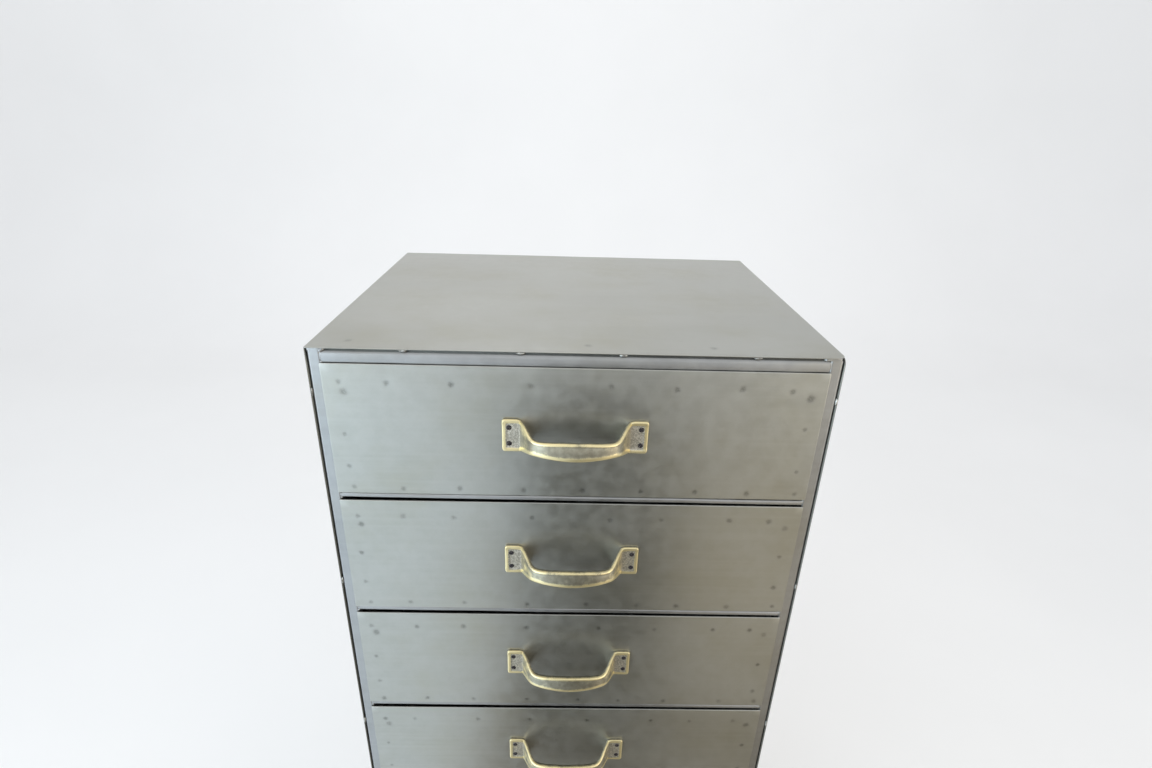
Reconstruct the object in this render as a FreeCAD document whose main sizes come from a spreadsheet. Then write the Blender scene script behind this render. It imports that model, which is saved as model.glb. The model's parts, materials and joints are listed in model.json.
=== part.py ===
import FreeCAD, Part
import os
import Sketcher

# Steel card catalog cabinet: one column of eight full-width drawers in a welded square-tube frame
# with tack-welded sheet skins. Millimetres, +Z up. The drawers open towards -Y. The origin is on
# the floor, under the middle of the whole object, bow handles included.

DIMENSIONS = {
    # whole cabinet
    "cabinet_width": 500.0,
    "cabinet_depth": 400.0,
    "cabinet_height": 1290.0,
    # frame of square tube, sheet skins and the narrow gap that the tack welds bridge
    "tube_size": 12.0,
    "tube_wall": 1.2,
    "tube_corner": 2.2,
    "skin_sheet": 0.8,
    "skin_gap": 1.9,
    "skin_clearance": 0.2,
    "divider_height": 6.0,
    "divider_nose": 2.9,
    # drawer fronts
    "drawer_count": 8,
    "drawer_pitch": 149.7,
    "first_front_drop": 14.6,
    "last_front_gap": 0.6,
    "front_width": 474.5,
    "front_height": 140.9,
    "front_sheet": 1.7,
    "front_edge_round": 0.6,
    "front_corner_round": 1.2,
    "front_clearance": 0.3,
    # angle runners, one pair under each tray
    "runner_leg": 20.0,
    "runner_sheet": 1.5,
    "runner_clearance": 0.3,
    # trays behind the fronts, with stop tabs that meet the rail in front of them
    "tray_sheet": 1.0,
    "tray_side_gap": 0.8,
    "tray_depth": 372.0,
    "tray_lift": 3.0,
    "tray_top_drop": 12.0,
    "tray_lip": 6.0,
    "drawer_travel": 300.0,
    "stop_gap": 0.5,
    "tab_length": 18.0,
    "tab_rise": 16.0,
    # cast bow handle
    "handle_length": 141.5,
    "handle_projection": 34.5,
    "plate_width": 18.6,
    "plate_height": 35.0,
    "plate_thickness": 3.0,
    "plate_corner": 2.0,
    "plate_rim": 2.9,
    "plate_recess": 0.8,
    "strap_thickness": 4.0,
    "strap_root_overlap": 1.0,
    "strap_root_depth": 1.8,
    "strap_root_width": 4.4,
    "grip_half_span": 38.0,
    "grip_inner_trim": 2.8,
    "grip_bow": 4.5,
    "arm_height": 31.0,
    "grip_end_height": 11.0,
    "grip_swell": 3.2,
    "bend_outside": 11.0,
    "bend_inside": 7.0,
    # machine screws and nuts that hold the handle
    "screw_inset": 7.0,
    "screw_spacing": 17.2,
    "screw_shank": 3.5,
    "screw_hole": 4.0,
    "screw_head": 5.8,
    "screw_head_rim": 0.7,
    "screw_head_height": 1.9,
    "screw_crown": 3.4,
    "screw_crown_height": 1.6,
    "screw_end": 1.2,
    "nut_flats": 6.0,
    "nut_height": 2.8,
    "nut_clearance": 0.05,
    # plastic glides in the open tube ends
    "glide_head": 3.0,
    "glide_stem": 14.0,
    "glide_fit": 0.1,
    # tack-weld beads
    "bead_length": 8.0,
    "bead_depth": 3.2,
    "bead_proud": 0.6,
    "bead_corner": 1.1,
    # how far a cut runs past what it cuts, and how far it stays off what it leaves
    "cut_overrun": 2.0,
    "cut_margin": 0.01,
}

# Places of the tack welds: along the top sheet's front and back edges as shares of half the width,
# along its sides as shares of the depth, and up the posts as shares of the height.
TOP_TACKS = (-0.64, -0.21, 0.17, 0.67)
TOP_SIDE_TACKS = (0.3, 0.7)
POST_TACKS = (0.13, 0.36, 0.62, 0.79, 0.965)

TOLERANCE = 1e-6

doc = FreeCAD.newDocument("CardCatalogCabinet")
dims = doc.addObject("Spreadsheet::Sheet", "Dims")
for row, (alias, value) in enumerate(DIMENSIONS.items(), start=1):
    dims.set(f"A{row}", alias)
    dims.set(f"B{row}", str(value))
    dims.setAlias(f"B{row}", alias)
doc.recompute()

DRAWER_NUMBERS = range(1, int(dims.drawer_count) + 1)
UP = FreeCAD.Vector(0, 0, 1)
LOCAL_Z_TO_X = FreeCAD.Rotation(FreeCAD.Vector(0, 1, 0), 90)
LOCAL_Z_TO_Y = FreeCAD.Rotation(FreeCAD.Vector(1, 0, 0), -90)
NO_TURN = FreeCAD.Rotation()

# Formulas that place the pieces, worked out from the sheet's cells.
REACH = "(Dims.front_clearance + Dims.front_sheet + Dims.handle_projection)"
FRONT_PLANE = f"(({REACH} - Dims.cabinet_depth) / 2)"
BACK_PLANE = f"({FRONT_PLANE} + Dims.cabinet_depth)"
SKIN = "(Dims.skin_sheet + Dims.skin_gap)"
POST_X = f"(Dims.cabinet_width / 2 - {SKIN} - Dims.tube_size / 2)"
FRONT_POST_Y = f"({FRONT_PLANE} + Dims.tube_size / 2)"
REAR_POST_Y = f"({BACK_PLANE} - Dims.skin_sheet - Dims.tube_size / 2)"
INNER_HALF = f"({POST_X} - Dims.tube_size / 2)"
FRAME_TOP = f"(Dims.cabinet_height - {SKIN})"
LAST_FRONT_BOTTOM = (
    "(Dims.cabinet_height - Dims.first_front_drop - Dims.front_height"
    " - (Dims.drawer_count - 1) * Dims.drawer_pitch)"
)
BOTTOM_RAIL_TOP = f"({LAST_FRONT_BOTTOM} - Dims.last_front_gap)"
BOTTOM_RAIL_UNDERSIDE = f"({BOTTOM_RAIL_TOP} - Dims.tube_size)"
TRAY_WIDTH = f"(2 * ({INNER_HALF} - Dims.runner_sheet - Dims.tray_side_gap))"
TRAY_HEIGHT = "(Dims.front_height - Dims.tray_lift - Dims.tray_top_drop)"
FRONT_BACK_Y = f"({FRONT_PLANE} - Dims.front_clearance)"
FRONT_FACE_Y = f"({FRONT_BACK_Y} - Dims.front_sheet)"
SCREW_X = "(Dims.handle_length / 2 - Dims.screw_inset)"
PLATE_INNER_X = "(Dims.handle_length / 2 - Dims.plate_width)"


def front_bottom(number):
    """Height of the bottom edge of a drawer's front; drawer 1 is the top one."""
    return (
        "(Dims.cabinet_height - Dims.first_front_drop - Dims.front_height"
        f" - {number - 1} * Dims.drawer_pitch)"
    )


def bind(obj, formulas):
    for name, formula in formulas.items():
        obj.setExpression(name, formula)


def place(obj, x, y, z, rotation=NO_TURN):
    obj.Placement = FreeCAD.Placement(FreeCAD.Vector(), rotation)
    bind(obj, {"Placement.Base.x": x, "Placement.Base.y": y, "Placement.Base.z": z})


# ---------------------------------------------------------------- sketch and feature helpers


def new_body(label):
    body = doc.addObject("PartDesign::Body", label)
    body.Label = label
    return body


def new_sketch(body, plane, name, offset=None):
    """A sketch on one of the body's own origin planes, raised by offset along its normal."""
    sketch = body.newObject("Sketcher::SketchObject", name)
    support = [feature for feature in body.Origin.OriginFeatures if feature.Role == plane][0]
    sketch.AttachmentSupport = (support, "")
    sketch.MapMode = "FlatFace"
    if offset:
        sketch.setExpression("AttachmentOffset.Base.z", offset)
    return sketch


def number_of(formula):
    return float(dims.evalExpression(formula))


def pin_point(sketch, geometry, end, x, y):
    """Hold one end of a line, or a circle's centre, at x, y from the sketch's origin."""
    for kind, formula in (("DistanceX", x), ("DistanceY", y)):
        value = number_of(formula)
        index = sketch.addConstraint(Sketcher.Constraint(kind, -1, 1, geometry, end, value))
        sketch.setExpression(f"Constraints[{index}]", formula)


def outline(sketch, corners, arcs=()):
    """A closed outline through corners given as pairs of formulas.

    arcs holds (index, half chord, bow): the side after that corner is an arc that swells by
    the bow to the right of the way the outline runs, or to the left where the bow is negative.
    """
    bows = {index: (half_chord, bow) for index, half_chord, bow in arcs}
    points = [FreeCAD.Vector(number_of(x), number_of(y), 0) for x, y in corners]
    sides = []
    for index, start in enumerate(points):
        end = points[(index + 1) % len(points)]
        if index in bows:
            along = (end - start).normalize()
            right = FreeCAD.Vector(along.y, -along.x, 0)
            bow = number_of(bows[index][1])
            middle = (start + end) / 2 + right * bow
            # a sketch's arcs run anticlockwise
            curve = Part.Arc(start, middle, end) if bow > 0 else Part.Arc(end, middle, start)
        else:
            curve = Part.LineSegment(start, end)
        geometry = sketch.addGeometry(curve)
        starts_here = sketch.Geometry[geometry].StartPoint.distanceToPoint(start) < TOLERANCE
        sides.append((geometry, 1, 2) if starts_here else (geometry, 2, 1))
    for index, (geometry, start_end, _) in enumerate(sides):
        before, _, before_end = sides[index - 1]
        sketch.addConstraint(
            Sketcher.Constraint("Coincident", before, before_end, geometry, start_end)
        )
    for (geometry, start_end, _), (x, y) in zip(sides, corners):
        pin_point(sketch, geometry, start_end, x, y)
    for index, (half_chord, bow) in bows.items():
        geometry = sides[index][0]
        radius = f"({half_chord} ^ 2 + ({bow}) ^ 2) / (2 * abs({bow}))"
        constraint = sketch.addConstraint(Sketcher.Constraint("Radius", geometry, number_of(radius)))
        sketch.setExpression(f"Constraints[{constraint}]", radius)


def rectangle(sketch, left, bottom, width, height):
    right = f"({left} + {width})"
    top = f"({bottom} + {height})"
    outline(sketch, [(left, bottom), (right, bottom), (right, top), (left, top)])


def circle(sketch, x, y, diameter):
    centre = FreeCAD.Vector(number_of(x), number_of(y), 0)
    geometry = sketch.addGeometry(Part.Circle(centre, UP, number_of(diameter) / 2))
    pin_point(sketch, geometry, 3, x, y)
    index = sketch.addConstraint(Sketcher.Constraint("Diameter", geometry, number_of(diameter)))
    sketch.setExpression(f"Constraints[{index}]", diameter)


def feature(body, kind, name, sketch, length, reverse=False, symmetric=False):
    """A Pad or Pocket of a sketch, which has to change the body's volume."""
    before = body.Shape.Volume if body.Tip else 0.0
    made = body.newObject(f"PartDesign::{kind}", name)
    made.Profile = sketch
    made.Reversed = reverse
    if symmetric:
        made.SideType = "Symmetric"
    made.setExpression("Length", length)
    doc.recompute()
    grown = body.Shape.Volume - before
    if (grown <= 0) == (kind == "Pad"):
        raise RuntimeError(f"{body.Label}: {name} changed the volume by {grown:.3f}")
    return made


def round_edges(body, name, radius, chosen):
    """Fillet the edges of the body's last feature for which chosen(edge) is true."""
    base = body.Tip
    names = [f"Edge{i}" for i, edge in enumerate(base.Shape.Edges, start=1) if chosen(edge)]
    fillet = body.newObject("PartDesign::Fillet", name)
    fillet.Base = (base, names)
    fillet.setExpression("Radius", radius)
    doc.recompute()
    return fillet


def runs_along(edge, axis):
    """True for a straight edge parallel to axis (0 = x, 1 = y, 2 = z)."""
    if edge.Curve.TypeId != "Part::GeomLine":
        return False
    return abs(abs(edge.tangentAt(edge.FirstParameter)[axis]) - 1) < TOLERANCE


def pattern_grid(body, originals, steps):
    """Repeat features along the body's axes: steps holds (axis role, occurrences, length)."""
    grid = body.newObject("PartDesign::MultiTransform", "Grid")
    grid.Originals = originals
    rows = []
    for role, occurrences, length in steps:
        row = body.newObject("PartDesign::LinearPattern", f"Row{role[0]}")
        axis = [item for item in body.Origin.OriginFeatures if item.Role == role][0]
        row.Direction = (axis, [""])
        row.setExpression("Occurrences", occurrences)
        row.setExpression("Length", length)
        rows.append(row)
    grid.Transformations = rows
    body.Tip = grid
    doc.recompute()


# ---------------------------------------------------------------- frame


def square_tube(label, length, x, y, z, rotation=NO_TURN):
    body = new_body(label)
    section = new_sketch(body, "XY_Plane", "Section")
    for size in ("Dims.tube_size", "(Dims.tube_size - 2 * Dims.tube_wall)"):
        rectangle(section, f"(-{size} / 2)", f"(-{size} / 2)", size, size)
    feature(body, "Pad", "Length", section, length)

    def is_outer_corner(edge):
        off_centre = abs(edge.Vertexes[0].X)
        return runs_along(edge, 2) and abs(off_centre - dims.tube_size / 2) < TOLERANCE

    round_edges(body, "Corners", "Dims.tube_corner", is_outer_corner)
    place(body, x, y, z, rotation)
    return body


def divider_rail(label, z):
    """A thin bar between two drawer fronts, flush with the posts and rounded at the front."""
    body = new_body(label)
    section = new_sketch(body, "XY_Plane", "Section")
    rectangle(
        section,
        "(-Dims.divider_height / 2)",
        "(-Dims.tube_size / 2)",
        "Dims.divider_height",
        "Dims.tube_size",
    )
    feature(body, "Pad", "Length", section, f"2 * {INNER_HALF}")
    round_edges(
        body, "Nose", "Dims.divider_nose", lambda edge: runs_along(edge, 2) and edge.Vertexes[0].Y < 0
    )
    place(body, f"-{INNER_HALF}", FRONT_POST_Y, z, LOCAL_Z_TO_X)
    return body


def build_frame():
    pieces = []
    sides = (("left", "-"), ("right", ""))
    ends = (("front", FRONT_POST_Y), ("rear", REAR_POST_Y))
    for end, y in ends:
        for side, sign in sides:
            length = f"{FRAME_TOP} - Dims.glide_head"
            pieces.append(square_tube(f"post_{end}_{side}", length, sign + POST_X, y, "Dims.glide_head"))
    side_start = f"({FRONT_POST_Y} + Dims.tube_size / 2)"
    side_length = f"({REAR_POST_Y} - Dims.tube_size / 2 - {side_start})"
    for level, top in (("top", FRAME_TOP), ("bottom", BOTTOM_RAIL_TOP)):
        z = f"({top} - Dims.tube_size / 2)"
        for end, y in ends:
            label = f"{level}_rail_{end}"
            pieces.append(square_tube(label, f"2 * {INNER_HALF}", f"-{INNER_HALF}", y, z, LOCAL_Z_TO_X))
        for side, sign in sides:
            label = f"{level}_rail_{side}"
            pieces.append(square_tube(label, side_length, sign + POST_X, side_start, z, LOCAL_Z_TO_Y))
    for number in DRAWER_NUMBERS[:-1]:
        middle = f"({front_bottom(number)} - (Dims.drawer_pitch - Dims.front_height) / 2)"
        pieces.append(divider_rail(f"divider_rail_{number}", middle))
    return pieces


def runners(label, side):
    """Eight angle runners, one above the other: the upright leg is welded to the posts."""
    body = new_body(label)
    section = new_sketch(body, "XZ_Plane", "Section")
    leg = "Dims.runner_leg"
    sheet = "Dims.runner_sheet"
    inward = "" if side == "left" else "-"
    corners = [("0", "0"), (leg, "0"), (leg, sheet), (sheet, sheet), (sheet, leg), ("0", leg)]
    outline(section, [(f"({inward}{x})", z) for x, z in corners])
    length = f"({REAR_POST_Y} + Dims.tube_size / 2 - {FRONT_PLANE} - Dims.tube_wall)"
    pad = feature(body, "Pad", "Runner", section, length, reverse=True)
    steps = [("Z_Axis", "Dims.drawer_count", "(Dims.drawer_count - 1) * Dims.drawer_pitch")]
    pattern_grid(body, [pad], steps)
    x = f"-{INNER_HALF}" if side == "left" else INNER_HALF
    z = f"({LAST_FRONT_BOTTOM} + Dims.tray_lift - Dims.runner_clearance - Dims.runner_sheet)"
    place(body, x, f"({FRONT_PLANE} + Dims.tube_wall)", z)
    return body


def glides():
    """Four plastic plugs: a flat head under the tube's end and a stem inside it."""
    body = new_body("foot_glides")
    head = new_sketch(body, "XY_Plane", "Head")
    rectangle(head, "(-Dims.tube_size / 2)", "(-Dims.tube_size / 2)", "Dims.tube_size", "Dims.tube_size")
    head_pad = feature(body, "Pad", "HeadPad", head, "Dims.glide_head")
    stem = new_sketch(body, "XY_Plane", "Stem")
    width = "(Dims.tube_size - 2 * (Dims.tube_wall + Dims.glide_fit))"
    rectangle(stem, f"(-{width} / 2)", f"(-{width} / 2)", width, width)
    stem_pad = feature(body, "Pad", "StemPad", stem, "Dims.glide_head + Dims.glide_stem")
    steps = [
        ("X_Axis", "2", f"2 * {POST_X}"),
        ("Y_Axis", "2", f"({REAR_POST_Y} - {FRONT_POST_Y})"),
    ]
    pattern_grid(body, [head_pad, stem_pad], steps)
    place(body, f"-{POST_X}", FRONT_POST_Y, "0")
    return body


# ---------------------------------------------------------------- skins


def sheet_box(label, size, x, y, z):
    box = doc.addObject("Part::Box", label)
    box.Label = label
    bind(box, dict(zip(("Length", "Width", "Height"), size)))
    place(box, x, y, z)
    return box


def bottom_panel():
    """The bottom sheet lies under the bottom rails and is notched round the four posts."""
    body = new_body("bottom_panel")
    width = "(Dims.cabinet_width - 2 * (Dims.skin_sheet + Dims.skin_clearance))"
    depth = "(Dims.cabinet_depth - Dims.skin_sheet - Dims.skin_clearance)"
    blank = new_sketch(body, "XY_Plane", "Blank")
    rectangle(blank, f"(-{width} / 2)", "0", width, depth)
    feature(body, "Pad", "Sheet", blank, "Dims.skin_sheet")
    notches = new_sketch(body, "XY_Plane", "Notches")
    notch_x = f"({INNER_HALF} - Dims.skin_clearance)"
    notch_depth = "(Dims.tube_size + 2 * Dims.skin_clearance)"
    for left in (notch_x, f"(-{notch_x} - {notch_depth} - Dims.skin_gap)"):
        for bottom in ("(-Dims.skin_clearance)", f"({depth} - Dims.tube_size)"):
            rectangle(notches, left, bottom, f"({notch_depth} + Dims.skin_gap)", notch_depth)
    feature(body, "Pocket", "CornerNotches", notches, "2 * Dims.skin_sheet", reverse=True)
    place(body, "0", FRONT_PLANE, f"({BOTTOM_RAIL_UNDERSIDE} - Dims.skin_sheet)")
    return body


def build_skins():
    side_bottom = f"({BOTTOM_RAIL_UNDERSIDE} - Dims.skin_sheet)"
    side_height = f"(Dims.cabinet_height - Dims.skin_sheet - Dims.skin_clearance - {side_bottom})"
    side_size = ("Dims.skin_sheet", "Dims.cabinet_depth", side_height)
    back_width = "(Dims.cabinet_width - 2 * (Dims.skin_sheet + Dims.skin_clearance))"
    top_size = ("Dims.cabinet_width", "Dims.cabinet_depth", "Dims.skin_sheet")
    right_x = "(Dims.cabinet_width / 2 - Dims.skin_sheet)"
    back_y = f"({BACK_PLANE} - Dims.skin_sheet)"
    top_z = "(Dims.cabinet_height - Dims.skin_sheet)"
    return [
        sheet_box("top_panel", top_size, "-Dims.cabinet_width / 2", FRONT_PLANE, top_z),
        sheet_box("left_side_panel", side_size, "-Dims.cabinet_width / 2", FRONT_PLANE, side_bottom),
        sheet_box("right_side_panel", side_size, right_x, FRONT_PLANE, side_bottom),
        sheet_box(
            "back_panel",
            (back_width, "Dims.skin_sheet", side_height),
            f"-{back_width} / 2",
            back_y,
            side_bottom,
        ),
        bottom_panel(),
    ]


def bead(length, depth, height, centre, along):
    """A tack weld: a pad that fills the gap, rounded where it stands out of it."""
    across = 1 - along
    size = [0, 0, height]
    size[along] = length
    size[across] = depth
    corner = centre - FreeCAD.Vector(*size) / 2
    box = Part.makeBox(*size, corner)
    upright = [edge for edge in box.Edges if runs_along(edge, 2)]
    return box.makeFillet(dims.bead_corner, upright)


def weld_beads():
    """Tack welds between the skins and the frame, as one group of separate solids."""
    half_width = dims.cabinet_width / 2
    front = number_of(FRONT_PLANE)
    back = number_of(BACK_PLANE)
    gap = dims.skin_gap
    length, depth, proud = dims.bead_length, dims.bead_depth, dims.bead_proud
    gap_middle = dims.cabinet_height - dims.skin_sheet - gap / 2
    beads = []
    for share in TOP_TACKS:
        along_front = FreeCAD.Vector(share * half_width, front + depth / 2 - proud, gap_middle)
        beads.append(bead(length, depth, gap, along_front, 0))
        along_back = FreeCAD.Vector(share * half_width, back - dims.skin_sheet - depth, gap_middle)
        beads.append(bead(length, depth, gap, along_back, 0))
    post_centre = number_of(POST_X)
    for share in TOP_SIDE_TACKS:
        y = front + share * dims.cabinet_depth
        for side in (-1, 1):
            beads.append(bead(length, depth, gap, FreeCAD.Vector(side * post_centre, y, gap_middle), 1))
    gap_x = half_width - dims.skin_sheet - gap / 2
    for share in POST_TACKS:
        z = share * dims.cabinet_height
        for side in (-1, 1):
            for y in (front + depth / 2 - proud, back - dims.skin_sheet - depth):
                flat = bead(length, depth, gap, FreeCAD.Vector(0, 0, 0), 0)
                flat.rotate(FreeCAD.Vector(0, 0, 0), FreeCAD.Vector(0, 1, 0), 90)
                flat.translate(FreeCAD.Vector(side * gap_x, y, z))
                beads.append(flat)
    group = doc.addObject("Part::Feature", "weld_beads")
    group.Label = "weld_beads"
    group.Shape = Part.makeCompound(beads)
    group.Placement = FreeCAD.Placement()
    return group


# ---------------------------------------------------------------- drawers


def screw_holes(sketch, height):
    """Four holes for the handle's screws, centred on the given height."""
    for x in (f"(-{SCREW_X})", SCREW_X):
        for z in (f"({height} - Dims.screw_spacing / 2)", f"({height} + Dims.screw_spacing / 2)"):
            circle(sketch, x, z, "Dims.screw_hole")


def drawer_front(number):
    body = new_body(f"drawer_{number}_front")
    panel = new_sketch(body, "XZ_Plane", "Panel")
    rectangle(panel, "(-Dims.front_width / 2)", "0", "Dims.front_width", "Dims.front_height")
    feature(body, "Pad", "Sheet", panel, "Dims.front_sheet")
    round_edges(body, "Corners", "Dims.front_corner_round", lambda edge: runs_along(edge, 1))
    round_edges(
        body,
        "FoldedEdge",
        "Dims.front_edge_round",
        lambda edge: max(vertex.Y for vertex in edge.Vertexes) < TOLERANCE - dims.front_sheet,
    )
    holes = new_sketch(body, "XZ_Plane", "Holes")
    screw_holes(holes, "Dims.front_height / 2")
    feature(body, "Pocket", "ScrewHoles", holes, "2 * Dims.front_sheet", reverse=True)
    place(body, "0", FRONT_BACK_Y, front_bottom(number))
    return body


def drawer_tray(number):
    """Open sheet tray with a folded lip round its mouth and two stop tabs on its sides."""
    body = new_body(f"drawer_{number}_tray")
    half = f"({TRAY_WIDTH} / 2)"
    sheet = "Dims.tray_sheet"
    outside = new_sketch(body, "XY_Plane", "Outside")
    rectangle(outside, f"(-{half})", "0", TRAY_WIDTH, "Dims.tray_depth")
    feature(body, "Pad", "Block", outside, TRAY_HEIGHT)
    cavity = new_sketch(body, "XY_Plane", "Cavity", f"({TRAY_HEIGHT} - {sheet})")
    rectangle(
        cavity,
        f"({sheet} - {half})",
        sheet,
        f"({TRAY_WIDTH} - 2 * {sheet})",
        f"(Dims.tray_depth - 2 * {sheet})",
    )
    feature(body, "Pocket", "Inside", cavity, f"{TRAY_HEIGHT} - 2 * {sheet}")
    mouth = new_sketch(body, "XY_Plane", "Mouth", TRAY_HEIGHT)
    lip = "Dims.tray_lip"
    rectangle(
        mouth,
        f"({lip} - {half})",
        lip,
        f"({TRAY_WIDTH} - 2 * {lip})",
        f"(Dims.tray_depth - 2 * {lip})",
    )
    feature(body, "Pocket", "Mouthed", mouth, f"2 * {sheet}")
    tabs = new_sketch(body, "XY_Plane", "Tabs", f"({TRAY_HEIGHT} - {sheet})")
    tab_start = "(Dims.drawer_travel + Dims.tube_size + Dims.front_clearance + Dims.stop_gap)"
    for left in (f"(-{half})", f"({half} - {sheet})"):
        rectangle(tabs, left, tab_start, sheet, "Dims.tab_length")
    feature(body, "Pad", "StopTabs", tabs, f"Dims.tab_rise + {sheet}")
    holes = new_sketch(body, "XZ_Plane", "Holes")
    screw_holes(holes, "(Dims.front_height / 2 - Dims.tray_lift)")
    feature(body, "Pocket", "ScrewHoles", holes, f"2 * {sheet}")
    place(body, "0", FRONT_BACK_Y, f"({front_bottom(number)} + Dims.tray_lift)")
    return body


def bow_handle(number):
    """Cast handle: two screwed end plates and a strap that bows out and swells at the middle."""
    body = new_body(f"drawer_{number}_handle")
    plates = new_sketch(body, "XZ_Plane", "Plates")
    for left in ("(-Dims.handle_length / 2)", PLATE_INNER_X):
        rectangle(plates, left, "(-Dims.plate_height / 2)", "Dims.plate_width", "Dims.plate_height")
    feature(body, "Pad", "EndPlates", plates, "Dims.plate_thickness")
    round_edges(body, "PlateCorners", "Dims.plate_corner", lambda edge: runs_along(edge, 1))

    strap = new_sketch(body, "XY_Plane", "Strap")
    out = "(-Dims.handle_projection)"
    shoulder = f"({out} + Dims.grip_bow)"
    inner_shoulder = f"({shoulder} + Dims.strap_thickness)"
    inner_half = "(Dims.grip_half_span - Dims.grip_inner_trim)"
    root_out = f"({PLATE_INNER_X} + Dims.strap_root_overlap)"
    root_in = f"({root_out} - Dims.strap_root_width)"
    root_y = "(-Dims.strap_root_depth)"
    corners = [
        (f"(-{root_out})", root_y),
        ("(-Dims.grip_half_span)", shoulder),
        ("Dims.grip_half_span", shoulder),
        (root_out, root_y),
        (root_in, root_y),
        (inner_half, inner_shoulder),
        (f"(-{inner_half})", inner_shoulder),
        (f"(-{root_in})", root_y),
    ]
    arcs = [(1, "Dims.grip_half_span", "Dims.grip_bow"), (5, inner_half, "-Dims.grip_bow")]
    outline(strap, corners, arcs)
    feature(body, "Pad", "StrapPad", strap, "Dims.arm_height", symmetric=True)

    def at_shoulder(edge, half_span):
        off_centre = abs(edge.Vertexes[0].X)
        return runs_along(edge, 2) and abs(off_centre - number_of(half_span)) < TOLERANCE

    for name, radius, half_span in (
        ("BendOutside", "Dims.bend_outside", "Dims.grip_half_span"),
        ("BendInside", "Dims.bend_inside", inner_half),
    ):
        round_edges(body, name, radius, lambda edge: at_shoulder(edge, half_span))

    sides = new_sketch(body, "XZ_Plane", "Silhouette")
    end = "(Dims.grip_end_height / 2)"
    root = "(Dims.arm_height / 2)"
    above = "(Dims.plate_height / 2 + Dims.cut_overrun)"
    reach = f"({PLATE_INNER_X} - Dims.cut_margin)"
    for sign, bow in (("", "-Dims.grip_swell"), ("-", "Dims.grip_swell")):
        trimmed = [
            (f"(-{reach})", sign + root),
            ("(-Dims.grip_half_span)", sign + end),
            ("Dims.grip_half_span", sign + end),
            (reach, sign + root),
            (reach, sign + above),
            (f"(-{reach})", sign + above),
        ]
        outline(sides, trimmed, [(1, "Dims.grip_half_span", bow)])
    depth = "Dims.handle_projection + Dims.cut_overrun"
    feature(body, "Pocket", "StrapSides", sides, depth, reverse=True)

    recess = new_sketch(body, "XZ_Plane", "Recess", "Dims.plate_thickness")
    rim = "Dims.plate_rim"
    for left in (f"(-Dims.handle_length / 2 + {rim})", f"({PLATE_INNER_X} + {rim})"):
        rectangle(
            recess,
            left,
            f"({rim} - Dims.plate_height / 2)",
            f"(Dims.plate_width - 2 * {rim})",
            f"(Dims.plate_height - 2 * {rim})",
        )
    feature(body, "Pocket", "PlateRecess", recess, "Dims.plate_recess")
    holes = new_sketch(body, "XZ_Plane", "Holes")
    screw_holes(holes, "0")
    feature(body, "Pocket", "ScrewHoles", holes, "2 * Dims.plate_thickness", reverse=True)
    place(body, "0", FRONT_FACE_Y, f"({front_bottom(number)} + Dims.front_height / 2)")
    return body


def handle_fasteners(number):
    """Four domed machine screws through plate, front and tray, and their four nuts."""
    body = new_body(f"drawer_{number}_fasteners")
    grip = "(Dims.plate_thickness - Dims.plate_recess + Dims.front_sheet + Dims.tray_sheet)"
    shank = "(Dims.screw_shank / 2)"
    head = "(Dims.screw_head / 2)"
    length = f"({grip} + Dims.nut_height + Dims.screw_end)"
    profile = new_sketch(body, "XY_Plane", "ScrewProfile")
    corners = [
        ("0", "(-Dims.screw_head_height)"),
        ("(Dims.screw_crown / 2)", "(-Dims.screw_crown_height)"),
        (head, "(-Dims.screw_head_rim)"),
        (head, "0"),
        (shank, "0"),
        (shank, length),
        ("0", length),
    ]
    outline(profile, corners)
    screw = body.newObject("PartDesign::Revolution", "Screw")
    screw.Profile = profile
    screw.ReferenceAxis = (profile, ["V_Axis"])
    screw.Angle = 360
    doc.recompute()
    hexagon = new_sketch(body, "XZ_Plane", "Hexagon", f"(-{grip})")
    flat = "(Dims.nut_flats / 2)"
    wide = "(Dims.nut_flats / sqrt(3))"
    around = [("", "0"), (" / 2", flat), (" / -2", flat), (" / -1", "0")]
    corners = [(f"({wide}{share})", z) for share, z in around]
    corners += [(f"({wide} / -2)", f"(-{flat})"), (f"({wide} / 2)", f"(-{flat})")]
    outline(hexagon, corners)
    circle(hexagon, "0", "0", "(Dims.screw_shank + 2 * Dims.nut_clearance)")
    nut = feature(body, "Pad", "Nut", hexagon, "Dims.nut_height", reverse=True)
    steps = [("X_Axis", "2", f"2 * {SCREW_X}"), ("Z_Axis", "2", "Dims.screw_spacing")]
    pattern_grid(body, [screw, nut], steps)
    seat = f"({FRONT_FACE_Y} - Dims.plate_thickness + Dims.plate_recess)"
    middle = f"({front_bottom(number)} + Dims.front_height / 2)"
    place(body, f"(-{SCREW_X})", seat, f"({middle} - Dims.screw_spacing / 2)")
    return body


def build_drawers():
    pieces = []
    for number in DRAWER_NUMBERS:
        for build in (drawer_front, drawer_tray, bow_handle, handle_fasteners):
            pieces.append(build(number))
    return pieces


# ---------------------------------------------------------------- build, check and export


def check(pieces):
    """Stop if any object failed, or any piece is empty or not a valid solid."""
    for obj in doc.Objects:
        if "Invalid" in obj.State or "Error" in obj.State:
            raise RuntimeError(f"{obj.Name} is {obj.State}")
    for piece in pieces:
        shape = piece.Shape
        if shape.isNull() or not shape.isValid() or not shape.Solids:
            raise RuntimeError(f"{piece.Label} has no valid solid")


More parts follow.
